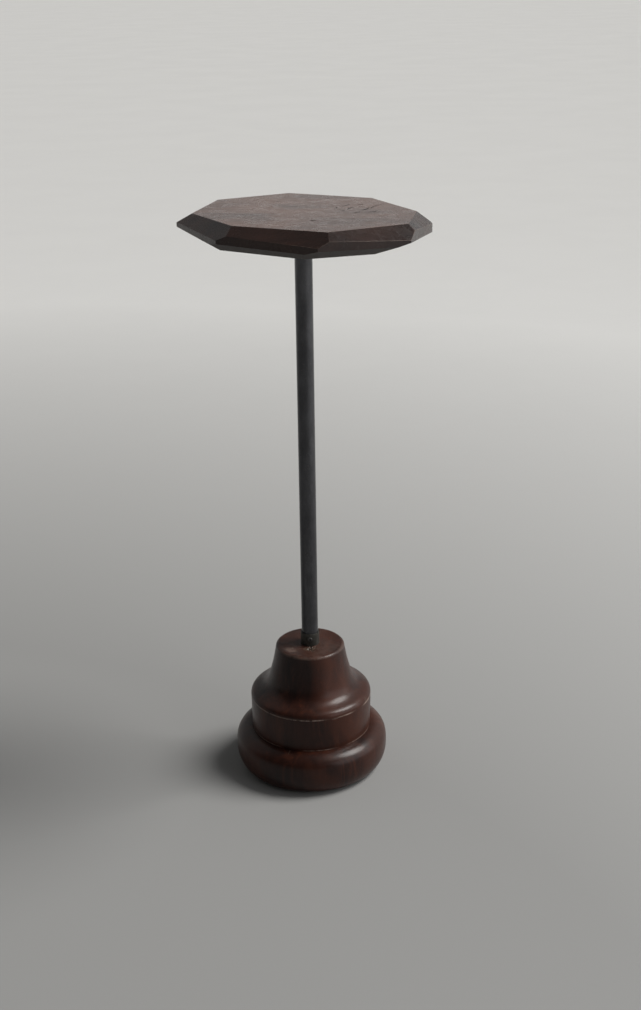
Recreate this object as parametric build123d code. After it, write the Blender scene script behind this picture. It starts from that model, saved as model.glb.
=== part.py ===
"""Sculpting turntable: an octagonal hardwood board that spins on a pipe post in a turned wooden foot.

Millimetres, +Z up. The origin is on the post's axis, at floor level. The board's name for each
of its sides is where that side faces: -Y is the front and +X the right.
"""
from build123d import *
from math import cos, radians, sin
import os

# ---- driving dimensions -------------------------------------------------------------------
TOTAL_HEIGHT = 737.0            # floor to the working surface, lowest setting (29 in)
BOARD_THICKNESS = 33.5
SLAB_WIDTH = 400.0              # the slab that the board is sawn out of
PIPE_RADIUS = 10.67             # half-inch nominal steel pipe
PIPE_WALL = 2.77
RUNNING_GAP = 0.08              # radial clearance of the post in its socket
SPINDLE_GAP = 0.05              # radial clearance of the spindle in its bushes
FILM = 0.05                     # gap between faces that slide on each other

# turned foot
FELT_THICKNESS = 2.0
FELT_RADIUS = 80.0
RECESS_TOP = 11.0               # ceiling of the recess in the bun's underside
BUN_TOP = 57.0                  # height of the joint between bun and bell
BAND_RADIUS = 79.4
BAND_TOP = 102.5
NECK_TOP = 174.5
NECK_RADIUS = 44.8
NECK_ROUND = 3.5

# steel socket for the post
SLEEVE_RADIUS = 12.0
SLEEVE_PROUD = 17.0             # how far the sleeve stands out of the neck
SOCKET_PLATE_RADIUS = 50.0
SOCKET_PLATE_THICKNESS = 5.0
RECESS_CLEARANCE = 1.0
LOCK_SCREW_RADIUS = 3.0
LOCK_SCREW_BELOW_TOP = 7.0
LOCK_SCREW_PROUD = 1.2
LOCK_SCREW_SOCKET = 3.0         # across the flats of its hexagon socket
LOCK_SCREW_SOCKET_DEPTH = 1.6
LOCK_SCREW_CHAMFER = 0.4

# spindle between the post and the board
SPINDLE_RADIUS = 6.0
SPINDLE_LENGTH = 95.0           # below the spindle plate
SPINDLE_CHAMFER = 1.0
SPINDLE_PLATE_RADIUS = 45.0
SPINDLE_PLATE_THICKNESS = 3.0
WASHER_RADIUS = 10.0
WASHER_THICKNESS = 1.5
BUSH_FLANGE_RADIUS = 10.5
BUSH_FLANGE_THICKNESS = 2.0
UPPER_BUSH_LENGTH = 25.0
LOWER_BUSH_LENGTH = 20.0
LOWER_BUSH_DEPTH = 65.0         # from the pipe's end to the lower bush's top

# wood screws: shank radius, length, head radius, head height
PLATE_SCREW = (2.1, 22.0, 4.1, 2.2)
SOCKET_SCREW = (2.4, 35.0, 4.7, 2.5)
JOINING_SCREW = (2.4, 72.0, 4.7, 2.5)
PLATE_SCREW_CIRCLE = 32.0       # radius
SOCKET_SCREW_CIRCLE = 40.0
JOINING_SCREW_CIRCLE = 30.0
SLOT_WIDTH = 1.0
SLOT_DEPTH = 1.0

# ---- heights that follow from them ----------------------------------------------------------
BOARD_UNDERSIDE = TOTAL_HEIGHT - BOARD_THICKNESS
SPINDLE_PLATE_BOTTOM = BOARD_UNDERSIDE - SPINDLE_PLATE_THICKNESS
WASHER_BOTTOM = SPINDLE_PLATE_BOTTOM - WASHER_THICKNESS
BUSH_TOP = WASHER_BOTTOM - FILM
PIPE_TOP = BUSH_TOP - BUSH_FLANGE_THICKNESS
SOCKET_PLATE_BOTTOM = RECESS_TOP - SOCKET_PLATE_THICKNESS
SLEEVE_TOP = NECK_TOP + SLEEVE_PROUD
PIPE_BORE = PIPE_RADIUS - PIPE_WALL
SLEEVE_BORE = PIPE_RADIUS + RUNNING_GAP
LOCK_SCREW_HEIGHT = SLEEVE_TOP - LOCK_SCREW_BELOW_TOP


class Side:
    """One hand-cut side of the board: a bevel above, an upright rim, and an underside bevel."""

    def __init__(self, facing, reach, rim, bevel, under):
        self.facing = facing                            # degrees, where the rim faces
        self.reach = reach                              # from the axis to the rim
        self.rim = rim                                  # height of the upright rim
        self.bevel_skew, self.bevel_inset, self.bevel_drop = bevel
        self.under_skew, self.under_inset = under
        self.under_rise = BOARD_THICKNESS - self.bevel_drop - rim


# The octagon is cut by eye: the rims are not quite even, and each bevel is skewed by a few
# degrees against its rim. bevel = (skew, inset, drop), under = (skew, inset).
SIDES = {
    "front_left": Side(-116.5, 125, 9.5, bevel=(3.5, 16, 10.5), under=(-3.5, 31.5)),
    "front_right": Side(-70, 145, 9.5, bevel=(6, 15, 9.0), under=(-4, 39.5)),
    "right": Side(-17.5, 147, 10.5, bevel=(7, 14.5, 11.0), under=(-11, 32.5)),
    "back_right": Side(25.5, 130, 11.0, bevel=(2, 17.5, 14.5), under=(0, 26)),
    "back": Side(70, 133, 11.0, bevel=(-3.5, 23, 12.0), under=(0, 26)),
    "back_left": Side(116, 138, 9.0, bevel=(0, 15.5, 12.0), under=(0, 26)),
    "left_back": Side(160.5, 139, 7.0, bevel=(4.5, 16, 9.0), under=(0, 26)),
    "left": Side(-151, 128.5, 7.0, bevel=(3, 17, 13.5), under=(-5.5, 20.5)),
}


# ---- helpers --------------------------------------------------------------------------------
def disc(radius, bottom, top):
    """A solid cylinder on the Z axis."""
    return extrude(Pos(0, 0, bottom) * Circle(radius), top - bottom)


def ring(outer, inner, bottom, top):
    return disc(outer, bottom, top) - disc(inner, bottom, top)


def turned(profile):
    """Revolve a closed outline in the XZ plane about the Z axis."""
    return revolve(make_face(profile), Axis.Z)


def circle_of(count, radius, start_angle):
    """Places evenly round the Z axis."""
    for index in range(count):
        angle = radians(start_angle + index * 360 / count)
        yield Pos(radius * cos(angle), radius * sin(angle), 0)


def screw_blank(size, head_face):
    """A countersunk screw without its slot, pointing up, with the flat of its head at head_face.

    It is also the space that the screw takes up in the pieces that it holds.
    """
    shank, length, head, head_height = size
    point_height = 2 * shank
    outline = Polyline(
        (0, head_face),
        (head, head_face),
        (shank, head_face + head_height),
        (shank, head_face + length - point_height),
        (0, head_face + length),
        close=True,
    )
    return turned(Plane.XZ * outline)


def wood_screw(size, head_face):
    shank, length, head, head_height = size
    slot = Box(2 * head, SLOT_WIDTH, 2 * SLOT_DEPTH)
    return screw_blank(size, head_face) - Pos(0, 0, head_face) * slot


def screw_group(size, head_face, places):
    return Compound([place * wood_screw(size, head_face) for place in places])


def without_screws(shape, size, head_face, places):
    for place in places:
        shape -= place * screw_blank(size, head_face)
    return shape


def write(shape, node):
    export_step(shape, f"parts/{node}.step")


# ---- turned foot ----------------------------------------------------------------------------
def socket_plate_places():
    return list(circle_of(4, SOCKET_SCREW_CIRCLE, 45))


def joining_places():
    return list(circle_of(3, JOINING_SCREW_CIRCLE, 90))


def base_bun():
    """The lower turned piece: a fat bun with a smaller foot and a recess under it."""
    foot = (88, FELT_THICKNESS)
    shoulder = (BAND_RADIUS, BUN_TOP)
    side = Spline(foot, (95, 8.5), (99.5, 20.5), (100.2, 33), (97.8, 46), (90.5, 53.5), shoulder)
    outline = [
        Line((0, BUN_TOP), (0, FELT_THICKNESS)),
        Line((0, FELT_THICKNESS), foot),
        side,
        Line(shoulder, (0, BUN_TOP)),
    ]
    bun = turned(Plane.XZ * Wire(outline))
    bun -= disc(SOCKET_PLATE_RADIUS + RECESS_CLEARANCE, FELT_THICKNESS, RECESS_TOP)
    bun -= disc(SLEEVE_RADIUS, RECESS_TOP, BUN_TOP)
    bun = without_screws(bun, SOCKET_SCREW, SOCKET_PLATE_BOTTOM, socket_plate_places())
    return without_screws(bun, JOINING_SCREW, RECESS_TOP, joining_places())


def base_bell():
    """The upper turned piece: an upright band, a crisp edge, an ogee and a tapering neck."""
    band_foot = (BAND_RADIUS - 0.8, BUN_TOP)
    edge = (BAND_RADIUS, BAND_TOP)
    neck = (NECK_RADIUS, NECK_TOP - NECK_ROUND)
    crown = (NECK_RADIUS - NECK_ROUND, NECK_TOP)
    ogee = Spline(edge, (77.4, 108), (68, 113.3), (58.4, 120.8), (53, 134), (48.6, 151), neck)
    outline = [
        Line((0, NECK_TOP), (0, BUN_TOP)),
        Line((0, BUN_TOP), band_foot),
        Line(band_foot, edge),
        ogee,
        ThreePointArc(
            neck,
            (NECK_RADIUS - 0.29 * NECK_ROUND, NECK_TOP - 0.29 * NECK_ROUND),
            crown,
        ),
        Line(crown, (0, NECK_TOP)),
    ]
    bell = turned(Plane.XZ * Wire(outline))
    bell -= disc(SLEEVE_RADIUS, BUN_TOP, NECK_TOP)
    return without_screws(bell, JOINING_SCREW, RECESS_TOP, joining_places())


def felt_pad():
    return disc(FELT_RADIUS, 0, FELT_THICKNESS)


# ---- steel socket ---------------------------------------------------------------------------
def socket_plate():
    plate = disc(SOCKET_PLATE_RADIUS, SOCKET_PLATE_BOTTOM, RECESS_TOP)
    return without_screws(plate, SOCKET_SCREW, SOCKET_PLATE_BOTTOM, socket_plate_places())


def lock_screw_axis():
    """The lock screw lies along Y and comes in from the front."""
    return Pos(0, 0, LOCK_SCREW_HEIGHT) * Rot(90, 0, 0)


def socket_sleeve():
    sleeve = ring(SLEEVE_RADIUS, SLEEVE_BORE, RECESS_TOP, SLEEVE_TOP)
    tapped_hole = disc(LOCK_SCREW_RADIUS + SPINDLE_GAP, 0, SLEEVE_RADIUS)
    return sleeve - lock_screw_axis() * tapped_hole


def lock_screw():
    """A grub screw with a hexagon socket. Its tip bears on the post."""
    tip = PIPE_RADIUS + FILM
    head = SLEEVE_RADIUS + LOCK_SCREW_PROUD
    screw = chamfer(disc(LOCK_SCREW_RADIUS, tip, head).edges().group_by(Axis.Z)[-1], LOCK_SCREW_CHAMFER)
    hexagon = RegularPolygon(LOCK_SCREW_SOCKET / 2, 6, major_radius=False)
    screw -= Pos(0, 0, head) * extrude(hexagon, -LOCK_SCREW_SOCKET_DEPTH)
    return lock_screw_axis() * screw


# ---- post -----------------------------------------------------------------------------------
def post_tube():
    return ring(PIPE_RADIUS, PIPE_BORE, RECESS_TOP + FILM, PIPE_TOP)


def upper_bush():
    bush = ring(PIPE_BORE, SPINDLE_RADIUS + SPINDLE_GAP, PIPE_TOP - UPPER_BUSH_LENGTH, PIPE_TOP)
    return bush + ring(BUSH_FLANGE_RADIUS, SPINDLE_RADIUS + SPINDLE_GAP, PIPE_TOP, BUSH_TOP)


def lower_bush():
    top = PIPE_TOP - LOWER_BUSH_DEPTH
    return ring(PIPE_BORE, SPINDLE_RADIUS + SPINDLE_GAP, top - LOWER_BUSH_LENGTH, top)


# ---- turntable ------------------------------------------------------------------------------
def spindle_plate_places():
    return list(circle_of(4, PLATE_SCREW_CIRCLE, 45))


def level(angle):
    """A level direction, as a unit vector."""
    return Vector(cos(radians(angle)), sin(radians(angle)), 0)


def cut_away(solid, point, outward):
    """Saw off everything beyond the plane through point that faces outward."""
    return split(solid, bisect_by=Plane(origin=point, z_dir=outward), keep=Keep.BOTTOM)


def top_board():
    """An octagon sawn and planed out of one slab, side by side."""
    on_its_base = (Align.CENTER, Align.CENTER, Align.MIN)
    slab = Box(SLAB_WIDTH, SLAB_WIDTH, BOARD_THICKNESS, align=on_its_base)
    board = Pos(0, 0, BOARD_UNDERSIDE) * slab
    up = Vector(0, 0, 1)
    for side in SIDES.values():
        rim_middle = level(side.facing) * side.reach
        rim_top = rim_middle + up * (TOTAL_HEIGHT - side.bevel_drop)
        rim_bottom = rim_top - up * side.rim
        bevel_outward = level(side.facing + side.bevel_skew) * side.bevel_drop + up * side.bevel_inset
        under_outward = level(side.facing + side.under_skew) * side.under_rise - up * side.under_inset
        board = cut_away(board, rim_middle, level(side.facing))
        board = cut_away(board, rim_top, bevel_outward)
        board = cut_away(board, rim_bottom, under_outward)
    return without_screws(board, PLATE_SCREW, SPINDLE_PLATE_BOTTOM, spindle_plate_places())


def spindle_plate():
    plate = ring(SPINDLE_PLATE_RADIUS, SPINDLE_RADIUS, SPINDLE_PLATE_BOTTOM, BOARD_UNDERSIDE)
    return without_screws(plate, PLATE_SCREW, SPINDLE_PLATE_BOTTOM, spindle_plate_places())


def spindle_pin():
    """Set into the plate at its top, with a lead-in chamfer at its lower end."""
    pin = disc(SPINDLE_RADIUS, SPINDLE_PLATE_BOTTOM - SPINDLE_LENGTH, BOARD_UNDERSIDE)
    return chamfer(pin.edges().group_by(Axis.Z)[0], SPINDLE_CHAMFER)


def thrust_washer():
    return ring(WASHER_RADIUS, SPINDLE_RADIUS, WASHER_BOTTOM, SPINDLE_PLATE_BOTTOM)


# ---- every piece ----------------------------------------------------------------------------
os.makedirs("parts", exist_ok=True)

write(base_bun(), "base_bun")
write(base_bell(), "base_bell")
write(felt_pad(), "felt_pad")
write(socket_plate(), "socket_plate")
write(socket_sleeve(), "socket_sleeve")
write(screw_group(SOCKET_SCREW, SOCKET_PLATE_BOTTOM, socket_plate_places()), "socket_plate_screws")
write(screw_group(JOINING_SCREW, RECESS_TOP, joining_places()), "base_joining_screws")
write(lock_screw(), "lock_screw")

write(post_tube(), "post_tube")
write(upper_bush(), "upper_bush")
write(lower_bush(), "lower_bush")

write(top_board(), "top_board")
write(spindle_plate(), "spindle_plate")
write(spindle_pin(), "spindle_pin")
write(thrust_washer(), "thrust_washer")
write(screw_group(PLATE_SCREW, SPINDLE_PLATE_BOTTOM, spindle_plate_places()), "spindle_plate_screws")
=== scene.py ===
"""Sculpting turntable: an octagonal hardwood board on a steel pipe post in a turned wooden foot.

Metres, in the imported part's own frame: origin on the post's axis at floor level, +Z up, -Y the
front. The camera stands in front and looks down on the stand.
"""

import bmesh
import bpy
import math
import random
from collections import namedtuple
from mathutils import Matrix, Vector, noise


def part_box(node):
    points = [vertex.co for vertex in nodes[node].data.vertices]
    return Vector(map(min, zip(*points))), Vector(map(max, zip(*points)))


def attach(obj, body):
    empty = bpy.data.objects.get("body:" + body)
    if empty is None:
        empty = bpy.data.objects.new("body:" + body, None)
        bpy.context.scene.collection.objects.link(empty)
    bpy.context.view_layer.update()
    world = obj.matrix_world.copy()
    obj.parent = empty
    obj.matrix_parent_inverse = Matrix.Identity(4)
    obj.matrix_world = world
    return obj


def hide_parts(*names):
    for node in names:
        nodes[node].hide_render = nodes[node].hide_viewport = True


MM = 0.001

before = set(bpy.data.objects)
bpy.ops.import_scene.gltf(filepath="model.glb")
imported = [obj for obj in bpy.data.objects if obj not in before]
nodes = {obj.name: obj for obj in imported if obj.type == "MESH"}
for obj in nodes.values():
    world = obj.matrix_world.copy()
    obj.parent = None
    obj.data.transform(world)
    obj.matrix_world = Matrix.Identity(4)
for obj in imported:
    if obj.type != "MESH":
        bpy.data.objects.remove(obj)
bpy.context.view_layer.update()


# ---- shader building ------------------------------------------------------------------------
class Shader:
    """A node material in the making: a Principled shader and short ways to feed it."""

    def __init__(self, name):
        self.material = bpy.data.materials.new(name)
        self.material.use_nodes = True
        self.tree = self.material.node_tree
        self.surface = self.tree.nodes["Principled BSDF"]
        self.place = self.add("ShaderNodeTexCoord").outputs["Object"]

    def add(self, kind, **settings):
        node = self.tree.nodes.new(kind)
        for key, value in settings.items():
            setattr(node, key, value)
        return node

    def feed(self, socket, value):
        """Link an output to a socket, or set the socket's own number."""
        if isinstance(value, bpy.types.NodeSocket):
            self.tree.links.new(value, socket)
        else:
            socket.default_value = value

    def stretched(self, scale, turn=(0, 0, 0), shift=(0, 0, 0)):
        """Object coordinates in axes turned by some degrees, with each axis then scaled."""
        mapping = self.add("ShaderNodeMapping", vector_type="TEXTURE")
        self.feed(mapping.inputs["Vector"], self.place)
        mapping.inputs["Rotation"].default_value = [math.radians(a) for a in turn]
        mapping.inputs["Scale"].default_value = [1 / share for share in scale]
        mapping.inputs["Location"].default_value = shift
        return mapping.outputs["Vector"]

    def noise(self, vector, scale, detail=4.0, rough=0.5, warp=0.0):
        node = self.add("ShaderNodeTexNoise")
        self.feed(node.inputs["Vector"], vector)
        node.inputs["Scale"].default_value = scale
        node.inputs["Detail"].default_value = detail
        node.inputs["Roughness"].default_value = rough
        node.inputs["Distortion"].default_value = warp
        return node.outputs["Fac"]

    def wave(self, vector, scale, warp):
        node = self.add("ShaderNodeTexWave", wave_type="BANDS", bands_direction="X")
        self.feed(node.inputs["Vector"], vector)
        node.inputs["Scale"].default_value = scale
        node.inputs["Distortion"].default_value = warp
        node.inputs["Detail"].default_value = 3.0
        node.inputs["Detail Scale"].default_value = 1.5
        return node.outputs["Fac"]

    def attribute(self, name):
        node = self.add("ShaderNodeAttribute", attribute_name=name, attribute_type="GEOMETRY")
        return node.outputs["Fac"]

    def span(self, value, low, high, to_low=0.0, to_high=1.0):
        """Map value from low..high to to_low..to_high, clamped."""
        node = self.add("ShaderNodeMapRange", clamp=True)
        self.feed(node.inputs["Value"], value)
        limits = {"From Min": low, "From Max": high, "To Min": to_low, "To Max": to_high}
        for socket, number in limits.items():
            node.inputs[socket].default_value = number
        return node.outputs["Result"]

    def maths(self, operation, a, b):
        node = self.add("ShaderNodeMath", operation=operation)
        self.feed(node.inputs[0], a)
        self.feed(node.inputs[1], b)
        return node.outputs["Value"]

    def times(self, a, b):
        return self.maths("MULTIPLY", a, b)

    def plus(self, a, b):
        return self.maths("ADD", a, b)

    def ramp(self, value, stops):
        """A colour ramp through (position, colour) stops."""
        node = self.add("ShaderNodeValToRGB")
        self.feed(node.inputs["Fac"], value)
        while len(node.color_ramp.elements) < len(stops):
            node.color_ramp.elements.new(0.5)
        for element, (position, colour) in zip(node.color_ramp.elements, stops):
            element.position = position
            element.color = (*colour, 1)
        return node.outputs["Color"]

    def mix(self, share, first, second):
        node = self.add("ShaderNodeMix", data_type="RGBA", clamp_factor=True)
        self.feed(node.inputs["Factor"], share)
        for socket, value in ((node.inputs[6], first), (node.inputs[7], second)):
            if isinstance(value, tuple):
                value = (*value, 1)
            self.feed(socket, value)
        return node.outputs[2]

    def bump(self, height, distance, strength=1.0, after=None):
        node = self.add("ShaderNodeBump")
        node.inputs["Strength"].default_value = strength
        node.inputs["Distance"].default_value = distance
        self.feed(node.inputs["Height"], height)
        if after is not None:
            self.feed(node.inputs["Normal"], after)
        return node.outputs["Normal"]

    def finish(self, colour, roughness, normal, **numbers):
        self.feed(self.surface.inputs["Base Color"], colour)
        self.feed(self.surface.inputs["Roughness"], roughness)
        self.feed(self.surface.inputs["Normal"], normal)
        for key, number in numbers.items():
            self.surface.inputs[key.replace("_", " ")].default_value = number
        return self.material

# ---- materials ------------------------------------------------------------------------------
PORE_FILL = (0.004, 0.003, 0.003)
# Near-black painted shade in the splits.
SPLIT_PAINTED_SHADE = (0.003, 0.002, 0.002)
# Bare wood on rubbed edges and chips; along the lit edges it also serves as a pale painted highlight.
BARE_AND_HIGHLIGHT_DARK, BARE_AND_HIGHLIGHT_PALE = (0.16, 0.105, 0.085), (0.34, 0.26, 0.22)
SPLINTER_DARK, SPLINTER_LIGHT = (0.02, 0.012, 0.009), (0.13, 0.085, 0.06)
SAW_DUST = (0.075, 0.07, 0.066)
RUBBED_AND_HIGHLIT_STAIN = (0.13, 0.10, 0.085)
FRECKLES = (0.055, 0.026, 0.014)
RUST = (0.075, 0.036, 0.018)
GREY_DUST = (0.10, 0.095, 0.088)


def shade(colour, share):
    """A colour made darker or lighter by a share."""
    return tuple(min(1.0, share * part) for part in colour)


def stained_colour(s, grain, seed, shades, streak, pores):
    """The stain's colour: figure along the grain, streaks, broad clouds and dark pores."""
    dark, middle, warm = shades
    lengthwise = s.stretched((1, 7, 7), turn=grain, shift=(seed, 0.3 * seed, 0))
    blotch = s.stretched((1, 1.6, 1.6), turn=grain, shift=(0, seed, seed))
    figure = s.noise(lengthwise, 9, detail=7, rough=0.62, warp=0.7)
    cloud = s.noise(blotch, 11, detail=3, rough=0.5, warp=0.4)
    body = s.ramp(figure, [(0.30, dark), (0.52, middle), (0.74, warm)])
    body = s.mix(s.span(streak, 0.35, 0.7, 0.0, 0.55), body, dark)
    body = s.mix(s.span(cloud, 0.38, 0.66, 0.0, 0.6), body, warm)
    return s.mix(s.times(pores, 0.7), body, PORE_FILL)


def damaged_colour(s, body, fibre, streak, rubbed_and_highlit, torn):
    """The colour with bare wood where it is rubbed, also laid on as a pale painted highlight along lit
    edges, splinters where it is torn, and near-black painted shade in the splits.
    """
    bare_and_highlight = s.ramp(streak, [(0.3, BARE_AND_HIGHLIGHT_DARK), (0.7, BARE_AND_HIGHLIGHT_PALE)])
    body = s.mix(s.times(rubbed_and_highlit, 0.8), body, bare_and_highlight)
    splinters = s.noise(fibre, 90, detail=6, rough=0.7)
    body = s.mix(torn, body, s.ramp(splinters, [(0.3, SPLINTER_DARK), (0.72, SPLINTER_LIGHT)]))
    # Near-black painted shade in the splits.
    return s.mix(s.attribute("crack"), body, SPLIT_PAINTED_SHADE)


def wood_roughness(s, gloss, pores, rubbed_and_highlit, torn):
    """Roughness round the varnish's own, higher in pores and where the varnish has gone."""
    scuffs = s.noise(s.place, 75, detail=6, rough=0.7)
    rough = s.span(scuffs, 0.3, 0.72, gloss - 0.045, gloss + 0.075)
    rough = s.plus(rough, s.times(pores, 0.12))
    rough = s.plus(rough, s.times(rubbed_and_highlit, 0.16))
    return s.plus(rough, s.times(torn, 0.4))


def wood_relief(s, grain, fibre, streak, pores, torn):
    """Plane marks, raised grain, open pores, and the ripped fibres of torn wood."""
    planed = s.noise(s.stretched((1, 2.6, 2.6), turn=grain), 26, detail=1)
    relief = s.bump(planed, 0.12 * MM, 0.3)
    relief = s.bump(streak, 0.16 * MM, 0.8, after=relief)
    relief = s.bump(s.maths("SUBTRACT", 1.0, pores), 0.07 * MM, 0.8, after=relief)
    ripped = s.times(torn, s.noise(fibre, 60, detail=6, rough=0.75))
    return s.bump(ripped, 1.2 * MM, after=relief)


def varnished_wood(name, grain, dark, middle, warm, seed, gloss, specular, coat):
    """Dark-stained close-grained hardwood under a worn satin varnish.

    grain turns the wood's own length, which is X, to where it runs in the piece. The mesh's
    attributes say where the finish is rubbed, with pale painted highlight along lit edges, where it is
    chipped off, and where it is split, with near-black painted shade.
    """
    s = Shader(name)
    fibre = s.stretched((1, 26, 26), turn=grain, shift=(seed, 0, seed))
    streak = s.noise(fibre, 38, detail=5, rough=0.6)
    pores = s.span(s.noise(fibre, 190, detail=2, rough=0.5), 0.60, 0.74)
    patches = s.span(s.noise(s.place, 160, detail=4, rough=0.65), 0.30, 0.52)
    rubbed_and_highlit = s.times(s.attribute("wear_and_highlight"), patches)
    torn = s.attribute("torn")
    body = stained_colour(s, grain, seed, (dark, middle, warm), streak, pores)
    body = damaged_colour(s, body, fibre, streak, rubbed_and_highlit, torn)
    rough = wood_roughness(s, gloss, pores, rubbed_and_highlit, torn)
    relief = wood_relief(s, grain, fibre, streak, pores, torn)
    return s.finish(
        body, rough, relief, Specular_IOR_Level=specular, Coat_Weight=coat, Coat_Roughness=0.23
    )


def raw_wood(name, grain, colour, seed, dust=0.5):
    """Wood that was stained and never varnished, with saw fuzz and some dust in it."""
    s = Shader(name)
    fibre = s.stretched((1, 20, 20), turn=grain, shift=(seed, 0, seed))
    streak = s.noise(fibre, 40, detail=6, rough=0.65)
    cloud = s.noise(s.place, 26, detail=5, rough=0.6)
    saw = s.wave(s.stretched((1, 1, 1), turn=(0, 0, 70)), 120, warp=1.5)
    dark, light = shade(colour, 0.5), shade(colour, 1.7)
    body = s.ramp(streak, [(0.3, dark), (0.5, colour), (0.72, light)])
    body = s.mix(s.span(cloud, 0.45, 0.75, 0.0, dust), body, SAW_DUST)
    # Paler stain where the edges are rubbed, partly a painted highlight on the lit side.
    body = s.mix(s.times(s.attribute("wear_and_highlight"), 0.5), body, RUBBED_AND_HIGHLIT_STAIN)
    fuzz = s.bump(streak, 0.25 * MM, 0.8)
    marks = s.bump(saw, 0.10 * MM, 0.5, after=fuzz)
    return s.finish(body, s.span(cloud, 0.3, 0.7, 0.62, 0.78), marks, Specular_IOR_Level=0.22)


def oiled_pipe(name, colour, seed):
    """Steel pipe with its dark mill scale, rubbed with oil: faint draw marks and freckles."""
    s = Shader(name)
    drawn = s.stretched((1, 1, 0.035), shift=(seed, 0, 0))
    marks = s.noise(drawn, 420, detail=4, rough=0.6)
    scale = s.noise(s.stretched((1, 1, 0.45), shift=(0, seed, 0)), 70, detail=7, rough=0.68)
    freckles = s.span(s.noise(s.stretched((1, 1, 0.7)), 520, detail=3, rough=0.6), 0.64, 0.74)
    worn = s.span(s.noise(s.stretched((1, 1, 0.2)), 24, detail=5, rough=0.6), 0.5, 0.75)
    dark, light = shade(colour, 0.62), shade(colour, 1.55)
    body = s.ramp(scale, [(0.28, dark), (0.5, colour), (0.76, light)])
    body = s.mix(s.span(marks, 0.35, 0.7, 0.0, 0.35), body, dark)
    body = s.mix(s.times(worn, 0.35), body, light)
    body = s.mix(s.times(freckles, 0.6), body, FRECKLES)
    rough = s.plus(s.span(scale, 0.3, 0.75, 0.15, 0.24), s.times(freckles, 0.25))
    lines = s.bump(marks, 0.05 * MM, 0.6)
    pits = s.bump(scale, 0.10 * MM, 0.5, after=lines)
    return s.finish(body, rough, pits, Metallic=0.85)


def blackened_steel(name, colour, seed):
    """Steel left black from the forge and handled: patchy, with some rust."""
    s = Shader(name)
    patches = s.noise(s.stretched((1, 1, 1), shift=(seed, seed, 0)), 85, detail=8, rough=0.7)
    fine = s.noise(s.place, 620, detail=4, rough=0.6)
    spots = s.noise(s.stretched((1, 1, 1), shift=(0, 0, seed)), 140, detail=6, rough=0.7)
    rust = s.span(spots, 0.58, 0.72)
    dark, light = shade(colour, 0.55), shade(colour, 1.7)
    body = s.ramp(patches, [(0.3, dark), (0.52, colour), (0.75, light)])
    body = s.mix(s.times(rust, 0.5), body, RUST)
    rough = s.plus(s.span(patches, 0.3, 0.7, 0.36, 0.54), s.times(rust, 0.22))
    skin = s.bump(patches, 0.16 * MM, 0.6)
    grit = s.bump(fine, 0.04 * MM, 0.6, after=skin)
    return s.finish(body, rough, grit, Metallic=0.7)


def turned_metal(name, colour, seed):
    """Bright metal off the lathe: fine rings round Z, a film of oil, a few stains."""
    s = Shader(name)
    rings = s.noise(s.stretched((0.02, 0.02, 1), shift=(seed, 0, 0)), 2600, detail=3, rough=0.6)
    stain = s.noise(s.place, 90, detail=6, rough=0.65)
    dark = shade(colour, 0.5)
    body = s.ramp(stain, [(0.32, dark), (0.55, colour), (0.8, colour)])
    body = s.mix(s.span(rings, 0.4, 0.7, 0.0, 0.3), body, dark)
    rough = s.span(stain, 0.3, 0.7, 0.22, 0.38)
    lathe = s.bump(rings, 0.02 * MM, 0.5)
    return s.finish(body, rough, lathe, Metallic=1.0)


def pressed_felt(name, colour):
    """Wool felt: matted short fibres, a little fluff, grey dust worked in."""
    s = Shader(name)
    fibres = s.noise(s.place, 900, detail=8, rough=0.8, warp=1.2)
    mats = s.noise(s.place, 60, detail=5, rough=0.6)
    dark, light = shade(colour, 0.55), shade(colour, 2.0)
    body = s.ramp(fibres, [(0.3, dark), (0.5, colour), (0.75, light)])
    body = s.mix(s.span(mats, 0.5, 0.8, 0.0, 0.4), body, GREY_DUST)
    fluff = s.bump(fibres, 0.5 * MM, 0.9)
    rough = s.span(mats, 0.3, 0.7, 0.86, 0.96)
    return s.finish(body, rough, fluff, Sheen_Weight=0.4, Sheen_Roughness=0.5)


def floor_paint(name, near, far):
    """A pale studio floor with hardly any mottling, painted darker near the stand and the front left
    and paler towards the back and right: painted shade and light.
    """
    s = Shader(name)
    reach = s.add("ShaderNodeVectorMath", operation="LENGTH")
    s.feed(reach.inputs[0], s.stretched((1, 1, 1), shift=(-0.9, -1.0, 0)))
    away = s.span(reach.outputs["Value"], 1.4, 3.6)
    cloud = s.noise(s.place, 2.3, detail=5, rough=0.55)
    speck = s.noise(s.place, 240, detail=3, rough=0.6)
    body = s.mix(away, near, far)
    body = s.mix(s.span(cloud, 0.35, 0.65, 0.0, 0.04), body, near)
    body = s.mix(s.span(speck, 0.5, 0.75, 0.0, 0.08), body, near)
    rough = s.span(cloud, 0.3, 0.7, 0.6, 0.72)
    return s.finish(body, rough, s.bump(speck, 0.15 * MM, 0.3), Specular_IOR_Level=0.3)


# ---- mesh helpers ---------------------------------------------------------------------------
SHARP_ANGLE = 34                # degrees between faces, above which an edge stays crisp


def mesh_object(name, mesh, body, material):
    """Put a smooth-shaded mesh, with its crisp edges, in the scene as a piece of a body."""
    piece = bpy.data.objects.new(name, mesh)
    bpy.context.scene.collection.objects.link(piece)
    mesh.materials.clear()
    mesh.materials.append(material)
    for face in mesh.polygons:
        face.use_smooth = True
    mesh.set_sharp_from_angle(angle=math.radians(SHARP_ANGLE))
    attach(piece, body)
    return piece


def set_attribute(mesh, name, values):
    layer = mesh.attributes.new(name, "FLOAT", "POINT")
    layer.data.foreach_set("value", values)


def smooth_step(value, low, high):
    share = min(1.0, max(0.0, (value - low) / (high - low)))
    return share * share * (3 - 2 * share)


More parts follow.
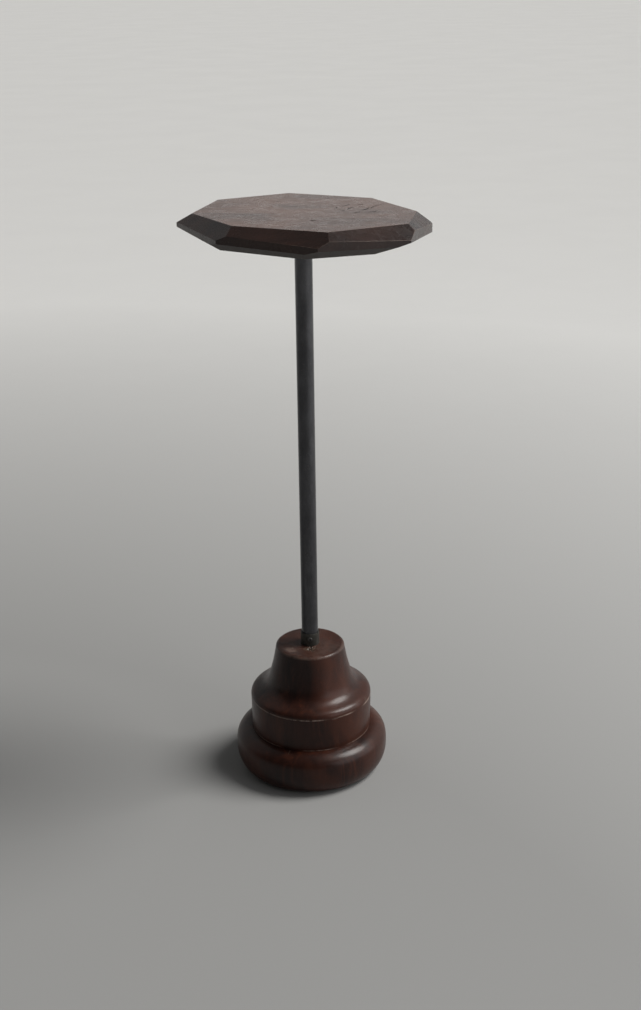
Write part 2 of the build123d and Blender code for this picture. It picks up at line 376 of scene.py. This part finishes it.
# ---- turned foot ----------------------------------------------------------------------------
OUTLINE_STEP = 0.6 * MM
LATHE_STEPS = 288
UNDERSIDE_RINGS = 12
CROWN_RINGS = 44
CROWN_SKIN = 0.2 * MM           # points this close to a piece's top sink down, the rest inwards
RIM_RADIUS = 4.8 * MM
EDGE_HEIGHT = 102.5             # the bell's crisp edge, in mm above the floor

# An edge where the finish is rubbed, and on its lit side a pale painted highlight: its height and how
# far the wear spreads (metres), how strong it is, and the direction that it is strongest in (degrees).
WornAndHighlitEdge = namedtuple("WornAndHighlitEdge", "height spread amount facing")


class Mark:
    """A chip, rub or crack on a turned piece, by its direction (degrees), radius and height (mm)."""

    def __init__(self, kind, facing, radius, height, length, width, depth):
        self.kind = kind
        angle = math.radians(facing)
        self.angle = angle
        self.place = Vector((radius * math.cos(angle), radius * math.sin(angle), height)) * MM
        self.sideways = Vector((-math.sin(angle), math.cos(angle), 0))
        self.length = length * MM       # along the outline
        self.width = width * MM         # round the axis
        self.depth = depth * MM

    def share(self, place):
        """How strongly the mark shows at a place: 0 away from it, 1 at its heart."""
        reach = place - self.place
        around = reach.dot(self.sideways)
        along = (reach - around * self.sideways).length
        if abs(around) > 1.3 * self.width or along > 1.3 * self.length:
            return 0.0
        if self.kind == "crack":
            wander = 0.15 * self.width * noise.noise(place * 300)
            across = max(0.0, 1 - abs(around + wander) / (0.5 * self.width))
            return across * (1 - smooth_step(along, 0.8 * self.length, self.length))
        ellipse = math.hypot(around / self.width, along / self.length)
        return 1 - smooth_step(ellipse + 0.3 * noise.noise(place * 420), 0.45, 1.0)


BELL_MARKS = [
    Mark("chip", -102, 79, EDGE_HEIGHT, 1.6, 3.0, 0.9),
    Mark("chip", -24, 78.4, EDGE_HEIGHT + 3, 5.0, 1.3, 0.6),
    Mark("rub", -66, 79, EDGE_HEIGHT - 1, 1.2, 7.0, 0.3),
    Mark("chip", 35, 79, EDGE_HEIGHT, 1.4, 2.4, 0.7),
    Mark("chip", 150, 79, EDGE_HEIGHT - 0.5, 1.8, 4.0, 0.8),
    Mark("chip", -160, 78, 58.5, 1.4, 3.0, 0.6),
    Mark("crack", -84, 14, 174.5, 15.0, 0.9, 0.8),
    Mark("rub", -140, 32, 174.5, 9.0, 12.0, 0.15),
]
BUN_MARKS = [
    Mark("chip", -110, 83.5, 55.5, 4.5, 0.55, 0.3),
    Mark("chip", 118, 98, 44, 2.5, 3.5, 0.6),
    Mark("crack", 74, 84, 56, 9.0, 0.9, 0.6),
    Mark("rub", -175, 99, 26, 3.0, 8.0, 0.3),
]


def outer_radius(node, height, beyond):
    """The radius where a level ray towards the axis first meets a CAD node."""
    hit, where, _, _ = nodes[node].ray_cast(Vector((beyond, 0, height)), Vector((-1, 0, 0)))
    return where.x if hit else None


def turned_outline(node, bore):
    """The (radius, height) points of a turned node, read off the CAD surface.

    It starts at the bore's lower end, runs out over the underside, up the side, in over the
    top, and ends at the bore's upper end.
    """
    low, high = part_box(node)
    beyond = 2 * high.x
    bottom, top = low.z, high.z
    inset = 0.02 * MM
    count = round((top - bottom) / OUTLINE_STEP)
    side = []
    for index in range(count + 1):
        height = bottom + inset + (top - bottom - 2 * inset) * index / count
        side.append((outer_radius(node, height, beyond), height))

    def across(radius, height, rings):
        return [(bore + (radius - bore) * k / rings, height) for k in range(rings)]

    underside = across(side[0][0], bottom, UNDERSIDE_RINGS)
    crown = across(side[-1][0], top, CROWN_RINGS)
    return underside + side + crown[::-1]


def rubbed_round(outline, radius):
    """The outline with its top outer corner worn to a radius."""
    top = outline[-1][1]
    rim = max(reach for reach, height in outline if height > top - 1.5 * radius)
    centre = Vector((rim - radius, top - radius))
    rounded = []
    for point in outline:
        reach = Vector(point) - centre
        if reach.x > 0 and reach.y > 0 and reach.length > radius:
            point = tuple(centre + reach.normalized() * radius)
        rounded.append(point)
    return rounded


def lathe_angles(marks):
    """Even steps round the axis, with finer ones where a mark needs them."""
    angles = [2 * math.pi * k / LATHE_STEPS for k in range(LATHE_STEPS)]
    for mark in marks:
        radius = math.hypot(mark.place.x, mark.place.y)
        for share in (-1.2, -0.8, -0.5, -0.25, 0, 0.25, 0.5, 0.8, 1.2):
            angles.append((mark.angle + share * mark.width / radius) % (2 * math.pi))
    angles.sort()
    kept = [angles[0]]
    for angle in angles[1:]:
        if angle - kept[-1] > 0.0006:
            kept.append(angle)
    return kept

def blemishes(place, marks):
    """How far the surface sinks at a place, and how far it is split and broken there."""
    sink = 0.10 * MM * max(0.0, noise.noise(place * 55))
    split = 0.0
    broken = 0.0
    for mark in marks:
        share = mark.share(place)
        sink += mark.depth * share
        if mark.kind == "crack":
            split = max(split, share)
        else:
            broken = max(broken, share * (0.5 if mark.kind == "rub" else 1.0))
    return sink, split, broken


def edge_wear_and_highlight(place, height, angle, worn_and_highlit_edges):
    """How far the finish is rubbed off at a point of the outline, with pale painted highlight strongest
    towards the edge's facing.
    """
    most = 0.0
    for edge in worn_and_highlit_edges:
        band = 1 - smooth_step(abs(height - edge.height), 0.3 * edge.spread, edge.spread)
        patchy = smooth_step(noise.noise(place * 30) + 0.45, 0.0, 0.6)
        turned_to = 0.6 + 0.4 * math.cos(angle - math.radians(edge.facing))
        most = max(most, edge.amount * band * patchy * turned_to)
    return most


class Turning:
    """A turned piece: its outline, its marks, its worn edges with their painted highlight, and any torn
    patch on its top.
    """

    def __init__(self, node, marks, worn_and_highlit_edges, torn_patch=None, rim_radius=0):
        self.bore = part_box("socket_sleeve")[1].x
        self.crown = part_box(node)[1].z - CROWN_SKIN
        self.outline = turned_outline(node, self.bore)
        if rim_radius:
            self.outline = rubbed_round(self.outline, rim_radius)
        self.marks = marks
        self.worn_and_highlit_edges = worn_and_highlit_edges
        self.torn_patch = torn_patch

    def point(self, radius, height, angle):
        """A point of the surface, and how far it is rubbed or painted with highlight, torn and split.
        """
        outward = Vector((math.cos(angle), math.sin(angle), 0))
        place = outward * radius + Vector((0, 0, height))
        on_crown = height > self.crown
        sink, split, broken = blemishes(place, self.marks)
        ragged = 0.0
        if self.torn_patch and on_crown:
            ragged = self.torn_patch(place)
            sink += 2.2 * MM * ragged * (0.35 + abs(noise.noise(place * 260)))
        if on_crown:
            place.z -= sink
        elif radius > self.bore * 1.001:
            place -= outward * sink
        rubbed_and_highlit = max(edge_wear_and_highlight(place, height, angle, self.worn_and_highlit_edges), 0.9 * broken)
        torn = max(ragged, broken if broken > 0.5 else 0.0)
        return place, (rubbed_and_highlit, torn, split)


def join_columns(bm, columns, rows):
    """Faces between each column of points and the next, round the axis and along the outline."""
    bm.verts.ensure_lookup_table()
    for column in range(columns):
        here = column * rows
        there = ((column + 1) % columns) * rows
        for row in range(rows):
            ahead = (row + 1) % rows
            corners = (here + row, there + row, there + ahead, here + ahead)
            bm.faces.new([bm.verts[corner] for corner in corners])


def turned_piece(name, node, body, material, turning):
    """A lathe-turned wooden piece with a hand-finished surface, in the place of a CAD node."""
    angles = lathe_angles(turning.marks)
    bm = bmesh.new()
    states = []
    for angle in angles:
        for radius, height in turning.outline:
            place, state = turning.point(radius, height, angle)
            bm.verts.new(place)
            states.append(state)
    join_columns(bm, len(angles), len(turning.outline))
    mesh = bpy.data.meshes.new(name)
    bm.to_mesh(mesh)
    bm.free()
    for attribute, values in zip(("wear_and_highlight", "torn", "crack"), zip(*states)):
        set_attribute(mesh, attribute, values)
    piece = mesh_object(name, mesh, body, material)
    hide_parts(node)


def torn_by_the_sleeve(place):
    """How far the wood is broken out at a point on the neck's top, in front of the sleeve."""
    front = Vector((0.5 * MM, -17.5 * MM, place.z))
    away = place - front
    oval = math.hypot(away.x / (11 * MM), away.y / (7.5 * MM))
    return 1 - smooth_step(oval + 0.45 * noise.noise(place * 190), 0.45, 1.05)


def make_foot(bell_wood, bun_wood):
    """The foot's two turned pieces, the bell on the bun."""
    bell_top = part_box("base_bell")[1].z
    bell_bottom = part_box("base_bell")[0].z
    # The bell's crisp edge, rim and foot are worn pale, strongest towards the lit front right: partly
    # painted highlight, and at the foot a painted light line over the shade where the bell meets the
    # bun.
    bell_edges = [
        WornAndHighlitEdge(EDGE_HEIGHT * MM, 1.2 * MM, 1.5, -40),
        WornAndHighlitEdge(bell_top - 1.6 * MM, 2.4 * MM, 0.32, -40),
        WornAndHighlitEdge(bell_bottom + 0.5 * MM, 1.2 * MM, 1.0, -75),
    ]
    bell = Turning("base_bell", BELL_MARKS, bell_edges, torn_by_the_sleeve, RIM_RADIUS)
    turned_piece("turned_bell", "base_bell", "base", bell_wood, bell)

    bun_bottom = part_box("base_bun")[0].z
    bun = Turning("base_bun", BUN_MARKS, [WornAndHighlitEdge(bun_bottom + 1 * MM, 4 * MM, 0.5, 180)])
    turned_piece("turned_bun", "base_bun", "base", bun_wood, bun)


# ---- board ----------------------------------------------------------------------------------
# Drying splits in the board's top, most of them in one patch at its right: the middle (mm),
# heading and bend (degrees), then length, width and depth (mm).
CRACKS = [
    ((50, 34), 48, 40, 22, 2.2, 1.5),
    ((57, 16), 62, -35, 25, 2.5, 1.8),
    ((67, 38), 35, 30, 20, 2.0, 1.4),
    ((72, 8), 55, 50, 27, 2.5, 1.8),
    ((62, -13), 40, 25, 18, 2.0, 1.4),
    ((84, 22), 66, -30, 23, 2.2, 1.5),
    ((81, -8), 30, 45, 21, 2.0, 1.5),
    ((46, 2), -40, -20, 14, 1.8, 1.3),
    ((92, 36), 44, 20, 17, 1.7, 1.2),
    ((39, 18), 70, 30, 12, 1.6, 1.2),
    ((70, 24), -30, 40, 12, 1.8, 1.3),
    ((12, -58), 15, 60, 9, 3.6, 2.0),
    ((20, -38), 50, 10, 10, 1.3, 1.0),
    ((-58, 18), 60, -8, 12, 1.3, 1.0),
    ((-30, 66), 40, 12, 12, 1.3, 1.0),
    ((30, 84), 55, 15, 12, 1.5, 1.1),
]
CHIPS = 9                       # small knocks along the back and side arrises
SPLIT_STATIONS = 8              # sections along each split
SPLIT_PATCH = 97 * MM           # faces sunk into the top inside this radius are walls of splits
HAND_AND_LIGHT_SIDE = -42                 # direction in degrees of the lit arrises that hands have rubbed, where the wear is also painted highlight
# The board's finishes: the top, painted lighter than the bevels; the sides; the underside; and the
# splits' painted shade.
TOP, SIDES, UNDERSIDE, SPLIT_SHADE = range(4)


def heading_vector(degrees):
    return Vector((math.cos(math.radians(degrees)), math.sin(math.radians(degrees))))


def split_ring(bm, middle, side, half_width, depth, top):
    """The three corners of a split's section: two above the surface and one at its bottom."""
    left = middle + side * half_width
    right = middle - side * half_width
    above = top + 0.4 * MM
    return [
        bm.verts.new((left.x * MM, left.y * MM, above)),
        bm.verts.new((right.x * MM, right.y * MM, above)),
        bm.verts.new((middle.x * MM, middle.y * MM, top - depth * MM)),
    ]


def add_split(bm, crack, top):
    """A boat-shaped wedge that cuts one split into the board's top."""
    middle, heading, bend, length, width, depth = crack
    place = Vector(middle) - 0.5 * length * heading_vector(heading)
    last = None
    for k in range(SPLIT_STATIONS):
        share = k / (SPLIT_STATIONS - 1)
        along = heading_vector(heading + bend * (share - 0.5))
        side = Vector((-along.y, along.x))
        if k:
            place += length / (SPLIT_STATIONS - 1) * along
        wander = 0.4 * width * noise.noise(Vector((*place, 0)) * 0.7)
        uneven = 0.75 + 0.5 * noise.noise(Vector((*place, 9)) * 0.9)
        swell = 0.12 + math.sin(math.pi * share) * uneven
        shifted = place + side * wander
        ring = split_ring(bm, shifted, side, 0.7 * width * swell, depth * swell, top)
        if last is None:
            bm.faces.new(ring[::-1])
        else:
            for i in range(3):
                bm.faces.new([last[i], ring[i], ring[(i + 1) % 3], last[(i + 1) % 3]])
        last = ring
    bm.faces.new(last)


def add_chip(bm, place, outward, size, chance):
    """A rough ball that knocks a shallow chip out of an arris."""
    made = bmesh.ops.create_icosphere(bm, subdivisions=2, radius=size)["verts"]
    stretch = Vector([chance.uniform(0.7, 1.5) for _ in range(3)])
    for vert in made:
        rough = 1 + 0.25 * noise.noise(vert.co * 900 + place * 700)
        vert.co = vert.co * rough * stretch + place + outward * size * 0.62


def cut_with(mesh, cutter_mesh):
    """The mesh with the cutter taken out of it."""
    collection = bpy.context.scene.collection
    body = bpy.data.objects.new("board_blank", mesh)
    cutter = bpy.data.objects.new("cutter", cutter_mesh)
    for thing in (body, cutter):
        collection.objects.link(thing)
    cut = body.modifiers.new("cut", "BOOLEAN")
    cut.operation = "DIFFERENCE"
    cut.solver = "EXACT"
    cut.object = cutter
    depsgraph = bpy.context.evaluated_depsgraph_get()
    result = bpy.data.meshes.new_from_object(body.evaluated_get(depsgraph))
    for thing in (body, cutter):
        bpy.data.objects.remove(thing)
    return result


def is_arris(edge):
    """Whether an edge is long, sharp and far out, so not one of the spindle's screw holes."""
    is_long = edge.calc_length() > 6 * MM
    is_sharp = edge.calc_face_angle(0) > 0.12
    return is_long and is_sharp and all(v.co.xy.length > 60 * MM for v in edge.verts)


def arris_edges(bm):
    return [edge for edge in bm.edges if is_arris(edge)]


def arris_wear_and_highlight(place, top):
    """How far the stain is rubbed off an arris, with pale painted highlight on the lit ones: most along
    the front right, where hands rest and the light falls.
    """
    off_hand_and_light_side = math.atan2(place.y, place.x) - math.radians(HAND_AND_LIGHT_SIDE)
    hand_and_light_side = smooth_step(math.cos(off_hand_and_light_side), 0.5, 0.95)
    patchy = smooth_step(noise.noise(place * 26) + 0.6, 0.1, 0.7)
    if place.z < top - 19 * MM:
        strongest = 0.3
    elif place.z < top - 3 * MM:
        strongest = 1.0
    elif place.x > 108 * MM:
        strongest = 0.9
    else:
        strongest = 0.2
    return 1.7 * strongest * (0.2 + 0.8 * hand_and_light_side) * patchy


def edge_order(edge):
    """A sorting key that is the same each run."""
    start, end = (v.co for v in edge.verts)
    return round(start.x, 5), round(start.y, 5), round(end.x, 5)


def chip_places(bm):
    """Points on the arrises away from the front, each with the way out of the wood there."""
    chance = random.Random(11)
    edges = [e for e in arris_edges(bm) if all(v.co.y > -20 * MM for v in e.verts)]
    edges.sort(key=edge_order)
    places = []
    for _ in range(CHIPS):
        edge = chance.choice(edges)
        start, end = (v.co for v in edge.verts)
        outward = sum((f.normal for f in edge.link_faces), Vector()).normalized()
        places.append((start.lerp(end, chance.uniform(0.12, 0.88)), outward))
    return places


def round_arrises(bm, top):
    """Rub the sharp edges round, and mark where the stain has gone from them and where pale painted
    highlight lies on them.
    """
    wear_and_highlight = bm.verts.layers.float.new("wear_and_highlight")
    made = bmesh.ops.bevel(
        bm, geom=arris_edges(bm), offset=2.0 * MM, segments=4, profile=0.55,
        affect="EDGES", clamp_overlap=True,
    )
    strips = set(made["faces"])
    for vert in {v for face in strips for v in face.verts}:
        if all(face in strips for face in vert.link_faces):
            vert[wear_and_highlight] = arris_wear_and_highlight(vert.co, top)
    for face in bm.faces:
        face.smooth = face in strips


def knock_about(mesh, places, top):
    """Cut the chips and the splits into the board's mesh."""
    chance = random.Random(5)
    cutter = bmesh.new()
    for place, outward in places:
        add_chip(cutter, place, outward, chance.uniform(1.4, 2.8) * MM, chance)
    for crack in CRACKS:
        add_split(cutter, crack, top)
    bmesh.ops.recalc_face_normals(cutter, faces=cutter.faces)
    cutter_mesh = bpy.data.meshes.new("cutter")
    cutter.to_mesh(cutter_mesh)
    cutter.free()
    return cut_with(mesh, cutter_mesh)


def spread_finishes(mesh, finishes, top):
    """Give each face the finish of the top, painted lighter than the bevels, of the sides, of the
    underside, or of a split's walls, painted near black as shade.
    """
    mesh.materials.clear()
    for finish in finishes:
        mesh.materials.append(finish)
    for face in mesh.polygons:
        inside_top = face.center.xy.length < SPLIT_PATCH and face.center.z > top - 2.4 * MM
        # Faces sunk into the top are the splits' walls, painted near black as shade.
        if inside_top and face.center.z < top - 0.01 * MM:
            face.material_index = SPLIT_SHADE
        elif face.normal.z > 0.985:
            face.material_index = TOP
        elif face.normal.z > -0.12:
            face.material_index = SIDES
        else:
            face.material_index = UNDERSIDE


def make_board(finishes):
    """The octagonal board: the CAD slab with rubbed arrises, chips and drying splits."""
    mesh = nodes["top_board"].data.copy()
    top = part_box("top_board")[1].z
    bm = bmesh.new()
    bm.from_mesh(mesh)
    bmesh.ops.remove_doubles(bm, verts=bm.verts, dist=0.005 * MM)
    bmesh.ops.dissolve_limit(
        bm, angle_limit=math.radians(0.5), verts=bm.verts, edges=bm.edges, use_dissolve_boundaries=False
    )
    places = chip_places(bm)
    round_arrises(bm, top)
    bm.to_mesh(mesh)
    bm.free()
    mesh = knock_about(mesh, places, top)
    spread_finishes(mesh, finishes, top)
    piece = bpy.data.objects.new("planed_board", mesh)
    bpy.context.scene.collection.objects.link(piece)
    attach(piece, "turntable")
    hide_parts("top_board")


# ---- stage ----------------------------------------------------------------------------------
CAMERA_PLACE = (0.0161, -1.630, 1.027)
CAMERA_PITCH = 22.0             # degrees down
CAMERA_ROLL = 0.78              # degrees
CAMERA_LENS = 49.7              # millimetres
VIEW_DEPTH = 50
FLOOR_RADIUS = 45
# The floor's painted shade near the stand and its painted light further back.
FLOOR_NEAR_PAINTED_SHADE, FLOOR_FAR_PAINTED_LIGHT = (0.30, 0.30, 0.296), (0.72, 0.72, 0.71)
ROOM_COLOUR = (1.0, 0.995, 0.985, 1)

# The soft glows of the room. Each has its direction, the cosines of the angles from it where
# it starts and where it is full, and its radiance.
ROOM_LIGHT = [
    ((0, 0, 1), -1.0, -0.9, 0.06),              # dim, from all round
    ((0.05, 1, -0.03), 0.925, 0.99, 0.86),      # behind
    ((-0.7, 0.55, 0.5), 0.7, 0.95, 0.27),       # above, behind and left
    ((0.8, 0.5, 0.3), 0.7, 0.95, 0.48),         # above, behind and right
]


def make_floor():
    bm = bmesh.new()
    bmesh.ops.create_circle(bm, cap_ends=True, segments=96, radius=FLOOR_RADIUS)
    mesh = bpy.data.meshes.new("studio_floor")
    bm.to_mesh(mesh)
    bm.free()
    mesh.materials.append(floor_paint("floor_paint", FLOOR_NEAR_PAINTED_SHADE, FLOOR_FAR_PAINTED_LIGHT))
    floor = bpy.data.objects.new("studio_floor", mesh)
    bpy.context.scene.collection.objects.link(floor)


def room_glow(tree, facing, direction, start, full, radiance):
    """The output of nodes that give one glow of the room."""
    towards = tree.nodes.new("ShaderNodeVectorMath")
    towards.operation = "DOT_PRODUCT"
    towards.inputs[1].default_value = Vector(direction).normalized()
    tree.links.new(facing, towards.inputs[0])
    share = tree.nodes.new("ShaderNodeMapRange")
    share.interpolation_type = "SMOOTHSTEP"
    share.inputs["From Min"].default_value = start
    share.inputs["From Max"].default_value = full
    share.inputs["To Max"].default_value = radiance
    tree.links.new(towards.outputs["Value"], share.inputs["Value"])
    return share.outputs["Result"]


def make_world():
    """Light from all round: the sum of the room's glows."""
    world = bpy.data.worlds.new("studio")
    world.use_nodes = True
    tree = world.node_tree
    facing = tree.nodes.new("ShaderNodeTexCoord").outputs["Generated"]
    glows = [room_glow(tree, facing, *glow) for glow in ROOM_LIGHT]
    total = glows[0]
    for glow in glows[1:]:
        together = tree.nodes.new("ShaderNodeMath")
        together.operation = "ADD"
        tree.links.new(total, together.inputs[0])
        tree.links.new(glow, together.inputs[1])
        total = together.outputs["Value"]
    background = tree.nodes["Background"]
    background.inputs["Color"].default_value = ROOM_COLOUR
    tree.links.new(total, background.inputs["Strength"])
    bpy.context.scene.world = world


def hang_light(data, azimuth, elevation, distance, aim):
    """Place a light by its direction and distance from the point that it is aimed at."""
    light = bpy.data.objects.new(data.name, data)
    bpy.context.scene.collection.objects.link(light)
    a, e = math.radians(azimuth), math.radians(elevation)
    towards = Vector((math.cos(a) * math.cos(e), math.sin(a) * math.cos(e), math.sin(e)))
    light.location = Vector(aim) + towards * distance
    light.rotation_mode = "QUATERNION"
    light.rotation_quaternion = towards.to_track_quat("Z", "Y")


def make_lights():
    """A broad sun from high on the right, as through a window, and a low softbox near it."""
    window = bpy.data.lights.new("window", "SUN")
    window.energy = 2.8
    window.angle = math.radians(26)
    window.color = (1.0, 0.985, 0.96)
    hang_light(window, azimuth=6, elevation=54, distance=3, aim=(0, 0, 0))

    softbox = bpy.data.lights.new("softbox", "AREA")
    softbox.shape = "RECTANGLE"
    softbox.size, softbox.size_y = 3.4, 1.8
    softbox.energy = 28
    softbox.color = (0.98, 0.99, 1.0)
    hang_light(softbox, azimuth=-20, elevation=18, distance=2.6, aim=(0, 0, 0.35))


def make_camera():
    """In front and above, with the stand's axis a little left of the view's middle."""
    pitch, roll = math.radians(CAMERA_PITCH), math.radians(CAMERA_ROLL)
    data = bpy.data.cameras.new("camera")
    data.lens = CAMERA_LENS
    data.clip_end = VIEW_DEPTH
    camera = bpy.data.objects.new("camera", data)
    bpy.context.scene.collection.objects.link(camera)
    place = Matrix.Translation(CAMERA_PLACE)
    look_down = Matrix.Rotation(math.pi / 2 - pitch, 4, "X")
    camera.matrix_world = place @ look_down @ Matrix.Rotation(-roll, 4, "Z")
    bpy.context.scene.camera = camera


# ---- the whole scene ------------------------------------------------------------------------
def dress(node, material):
    """Give a CAD node its finished material."""
    for slot in nodes[node].material_slots:
        slot.material = material


def dress_metal():
    """Give each steel and bronze CAD node its material."""
    pipe = oiled_pipe("oiled_pipe", (0.070, 0.070, 0.075), 3.0)
    black = blackened_steel("blackened_steel", (0.07, 0.069, 0.062), 5.0)
    screws = blackened_steel("dark_screws", (0.09, 0.088, 0.085), 9.0)
    bright = turned_metal("bright_steel", (0.52, 0.52, 0.53), 2.0)
    bronze = turned_metal("bearing_bronze", (0.52, 0.33, 0.15), 4.0)
    dress("post_tube", pipe)
    for node in ("socket_sleeve", "socket_plate", "spindle_plate"):
        dress(node, black)
    for node in ("lock_screw", "socket_plate_screws", "base_joining_screws", "spindle_plate_screws"):
        dress(node, screws)
    dress("spindle_pin", bright)
    for node in ("thrust_washer", "upper_bush", "lower_bush"):
        dress(node, bronze)


bpy.context.scene.view_settings.view_transform = "Standard"
make_camera()
make_floor()
make_world()
make_lights()
dress_metal()
dress("felt_pad", pressed_felt("pressed_felt", (0.035, 0.036, 0.034)))
TURNED = dict(
    grain=(0, 90, 0), gloss=0.35, specular=0.145, coat=0.28,
    dark=(0.008, 0.0030, 0.0024), middle=(0.022, 0.0074, 0.0052), warm=(0.072, 0.0205, 0.0098),
)
BOARD_GRAIN = (0, 0, -6)
make_foot(
    varnished_wood("turned_wood_bell", seed=1.7, **TURNED),
    varnished_wood("turned_wood_bun", seed=6.1, **TURNED),
)
make_board([
    # The top: the bevels' wood painted lighter, as painted light.
    varnished_wood(
        "board_top_painted_lighter", BOARD_GRAIN, seed=3.3, gloss=0.27, specular=0.21, coat=0.1,
        dark=(0.030, 0.013, 0.0090), middle=(0.078, 0.034, 0.022), warm=(0.140, 0.062, 0.037),
    ),
    varnished_wood(
        "board_bevels", BOARD_GRAIN, seed=8.1, gloss=0.25, specular=0.22, coat=0.14,
        dark=(0.009, 0.0055, 0.0050), middle=(0.021, 0.0125, 0.0110), warm=(0.043, 0.0205, 0.0155),
    ),
    raw_wood("board_underside", BOARD_GRAIN, (0.032, 0.025, 0.022), 2.0),
    # Near-black painted shade on the splits' walls.
    raw_wood("split_painted_shade", BOARD_GRAIN, (0.004, 0.003, 0.0025), 5.0, dust=0.05),
])
